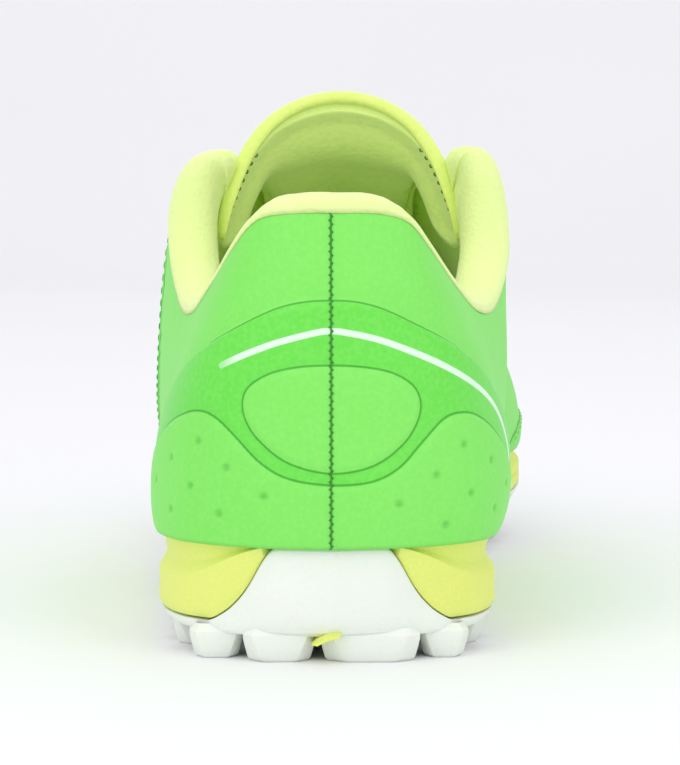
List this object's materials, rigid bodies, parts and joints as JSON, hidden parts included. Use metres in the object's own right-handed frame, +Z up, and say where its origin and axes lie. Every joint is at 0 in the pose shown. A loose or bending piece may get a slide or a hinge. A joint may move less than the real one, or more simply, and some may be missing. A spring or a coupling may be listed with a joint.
{
  "type": "turf shoe",
  "caption": "Low-cut left turf shoe with a padded collar, laced throat, sculpted midsole and a rubber outsole with many short lugs.",
  "frame": {"origin": "middle of the shoe's bounding box in plan, on the floor under its lugs", "axes": "+Z up, +Y from heel to toe, +X towards the medial (inner) side of this left shoe"},
  "size_m": [0.0952, 0.291, 0.1199],
  "materials": {
    "white_rubber": "matt",
    "lime_foam": "matt",
    "green_synthetic": "satin",
    "yellow_synthetic": "satin",
    "yellow_cloth": "matt",
    "yellow_cord": "matt"
  },
  "bodies": {
    "root": {"outsole": "white_rubber", "midsole": "lime_foam", "insole": "yellow_cloth", "upper": "green_synthetic", "heel_counter": "green_synthetic", "eyestay": "yellow_synthetic", "collar_pad": "yellow_cloth", "tongue": "yellow_cloth", "heel_lugs": "white_rubber", "forefoot_lugs": "white_rubber", "lace_bar_1": "yellow_cord", "lace_bar_2": "yellow_cord", "lace_bar_3": "yellow_cord", "lace_bar_4": "yellow_cord", "lace_bar_5": "yellow_cord", "lace_bar_6": "yellow_cord"}
  },
  "joints": []
}
